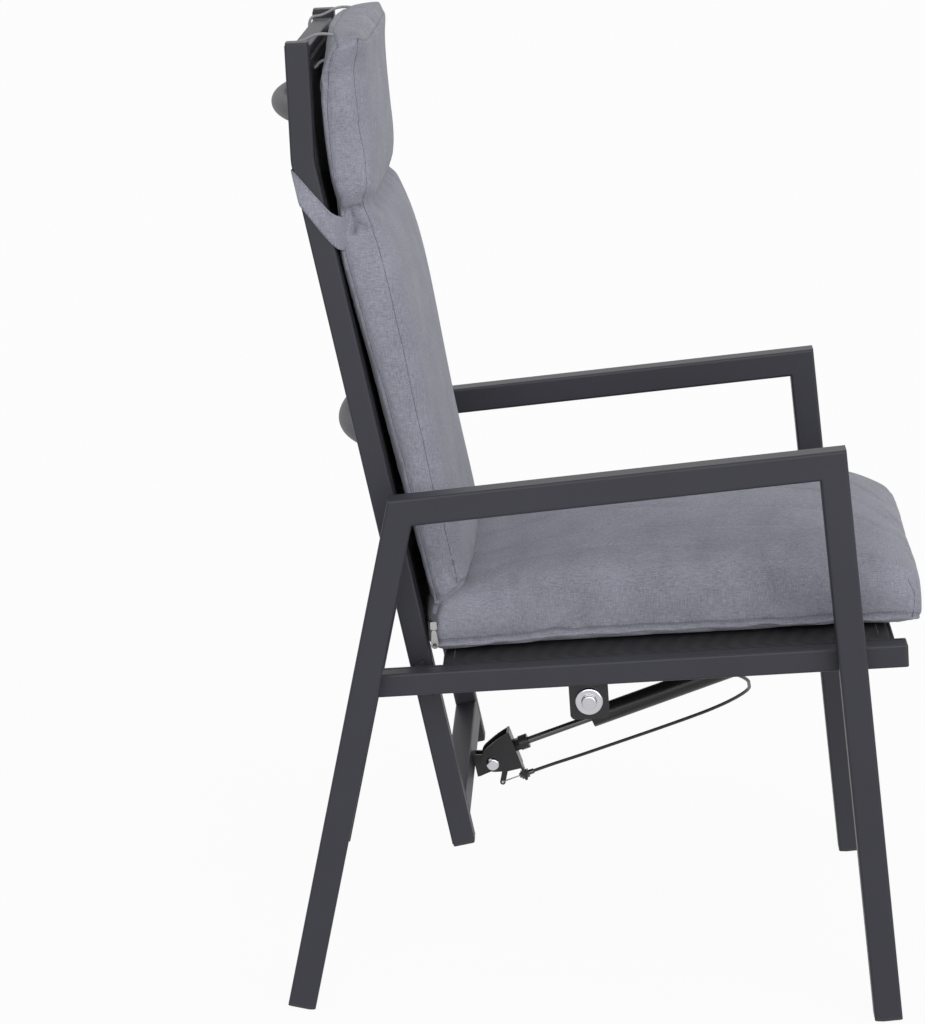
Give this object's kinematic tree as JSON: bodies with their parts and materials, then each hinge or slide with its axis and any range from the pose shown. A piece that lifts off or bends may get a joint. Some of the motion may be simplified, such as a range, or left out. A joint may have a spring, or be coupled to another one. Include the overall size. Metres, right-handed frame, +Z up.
{
  "type": "reclining garden armchair",
  "caption": "High-back garden armchair with a square-tube frame, fabric slings and cushions; a button releases a gas spring so that the back reclines.",
  "frame": {"origin": "on the floor, under the middle of the chair's width and length", "axes": "+Z up, -Y towards the chair's front, +X towards the sitter's left"},
  "size_m": [0.6, 0.7143, 1.0733],
  "materials": {
    "frame_paint": "fine matt charcoal powder coat",
    "foot_plastic": "moulded, faint grain",
    "sling_mesh": "coated woven mesh, matt",
    "cushion_fabric": "heathered grey weave",
    "elastic": "braided light grey elastic cord",
    "mechanism_paint": "satin black",
    "rod_steel": "blackened steel",
    "bush_plastic": "smooth",
    "chrome": "polished",
    "zip_nickel": "nickel plated",
    "cable_sheath": "smooth sheath"
  },
  "bodies": {
    "frame": {"button_bracket": "mechanism_paint", "button_housing": "chrome", "button_nut": "rod_steel", "left_armrest": "frame_paint", "left_front_foot": "foot_plastic", "left_front_leg": "frame_paint", "left_pivot_bracket": "frame_paint", "left_rail_front_cap": "foot_plastic", "left_rail_rear_cap": "foot_plastic", "left_rear_foot": "foot_plastic", "left_rear_leg": "frame_paint", "left_seat_rail": "frame_paint", "pivot_bushes": "bush_plastic", "release_cable": "cable_sheath", "right_armrest": "frame_paint", "right_front_foot": "foot_plastic", "right_front_leg": "frame_paint", "right_pivot_bracket": "frame_paint", "right_rail_front_cap": "foot_plastic", "right_rail_rear_cap": "foot_plastic", "right_rear_foot": "foot_plastic", "right_rear_leg": "frame_paint", "right_seat_rail": "frame_paint", "seat_cushion": "cushion_fabric", "seat_front_crossbar": "frame_paint", "seat_middle_crossbar": "frame_paint", "seat_rear_crossbar": "frame_paint", "seat_sling": "sling_mesh", "spring_bracket": "mechanism_paint", "zip_slider": "zip_nickel"},
    "backrest": {"right_stile": "frame_paint", "left_stile": "frame_paint", "stile_top_caps": "foot_plastic", "stile_bottom_caps": "foot_plastic", "back_top_crossbar": "frame_paint", "back_lower_crossbar": "frame_paint", "back_upper_bow": "frame_paint", "back_lower_bow": "frame_paint", "back_sling": "sling_mesh", "right_pivot_lug": "frame_paint", "left_pivot_lug": "frame_paint", "pivot_washers": "rod_steel", "pivot_bolts": "rod_steel", "rod_lug": "mechanism_paint", "rod_bolt": "chrome", "back_cushion": "cushion_fabric", "cushion_strap": "cushion_fabric", "elastic_loops": "elastic"},
    "gas_rod": {"gas_rod": "rod_steel", "rod_fork": "mechanism_paint", "release_head": "mechanism_paint", "lever_pin": "rod_steel", "cable_adjuster": "rod_steel"},
    "gas_cylinder": {"gas_cylinder": "mechanism_paint", "cylinder_guide": "bush_plastic", "spring_pin": "rod_steel"},
    "release_lever": {"release_lever": "mechanism_paint"},
    "valve_pin": {"valve_pin": "rod_steel"},
    "push_button": {"push_button": "chrome"},
    "zip_pull": {"zip_pull": "zip_nickel"}
  },
  "joints": [
    {"name": "back_recline", "type": "hinge", "parent": "frame", "child": "backrest", "pos_m": [0, 0.18859, 0.34501], "axis": [-1, 0, 0], "range_deg": [0, 27], "deforming": ["release_cable"]},
    {"name": "gas_rod_swing", "type": "hinge", "parent": "backrest", "child": "gas_rod", "pos_m": [0, 0.1061, 0.193], "axis": [-1, 0, 0], "range_deg": [-33.3, 0]},
    {"name": "gas_stroke", "type": "slide", "parent": "gas_rod", "child": "gas_cylinder", "axis": [0, 0.9297, -0.3683], "range_m": [0, 0.0752]},
    {"name": "button_press", "type": "slide", "parent": "frame", "child": "push_button", "axis": [1, 0, 0], "range_m": [0, 0.005], "stiffness_N_per_m": 500, "springref_m": -0.002},
    {"name": "lever_swing", "type": "hinge", "parent": "gas_rod", "child": "release_lever", "pos_m": [0, 0.09903, 0.21398], "axis": [-1, 0, 0], "range_deg": [0, 6.39]},
    {"name": "valve_pin_slide", "type": "slide", "parent": "gas_rod", "child": "valve_pin", "axis": [0, -0.9297, 0.3683], "range_m": [0, 0.001]},
    {"name": "zip_pull_swing", "type": "hinge", "parent": "frame", "child": "zip_pull", "pos_m": [-0.2137, 0.16656, 0.40145], "axis": [0, 0.9969, -0.0785], "range_deg": [0, 150]}
  ],
  "couplings": [
    {"joint": "gas_rod_swing", "follows": "back_recline", "ratio": -1.2292},
    {"joint": "gas_stroke", "follows": "back_recline", "m_per_rad": 0.15923},
    {"joint": "lever_swing", "follows": "button_press", "rad_per_m": 22.124},
    {"joint": "valve_pin_slide", "follows": "button_press", "ratio": 0.1969}
  ]
}
